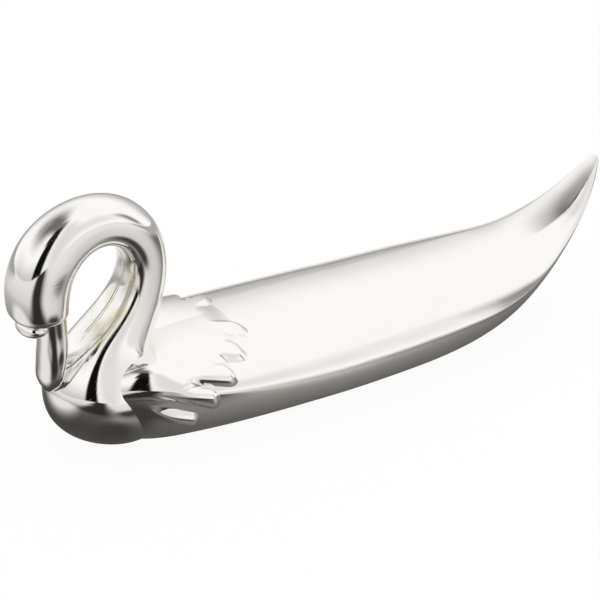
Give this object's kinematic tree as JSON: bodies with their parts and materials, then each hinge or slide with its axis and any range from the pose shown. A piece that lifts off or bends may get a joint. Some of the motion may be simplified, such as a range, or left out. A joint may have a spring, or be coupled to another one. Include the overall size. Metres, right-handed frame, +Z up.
{
  "type": "knife rest",
  "caption": "Polished swan-shaped knife rest: a long boat-like body with an upturned tail carries a looped neck and feathered wings, and a blade lies across its back.",
  "frame": {"origin": "on the table, under the middle of the length and the width", "axes": "+Z up, +X towards the tail, head towards -X, +Y towards the swan's right wing"},
  "size_m": [0.0886, 0.024, 0.0348],
  "materials": {
    "silver_plate": "polished"
  },
  "bodies": {
    "root": {"body": "silver_plate", "neck_and_head": "silver_plate", "left_wing": "silver_plate", "right_wing": "silver_plate"}
  },
  "joints": []
}
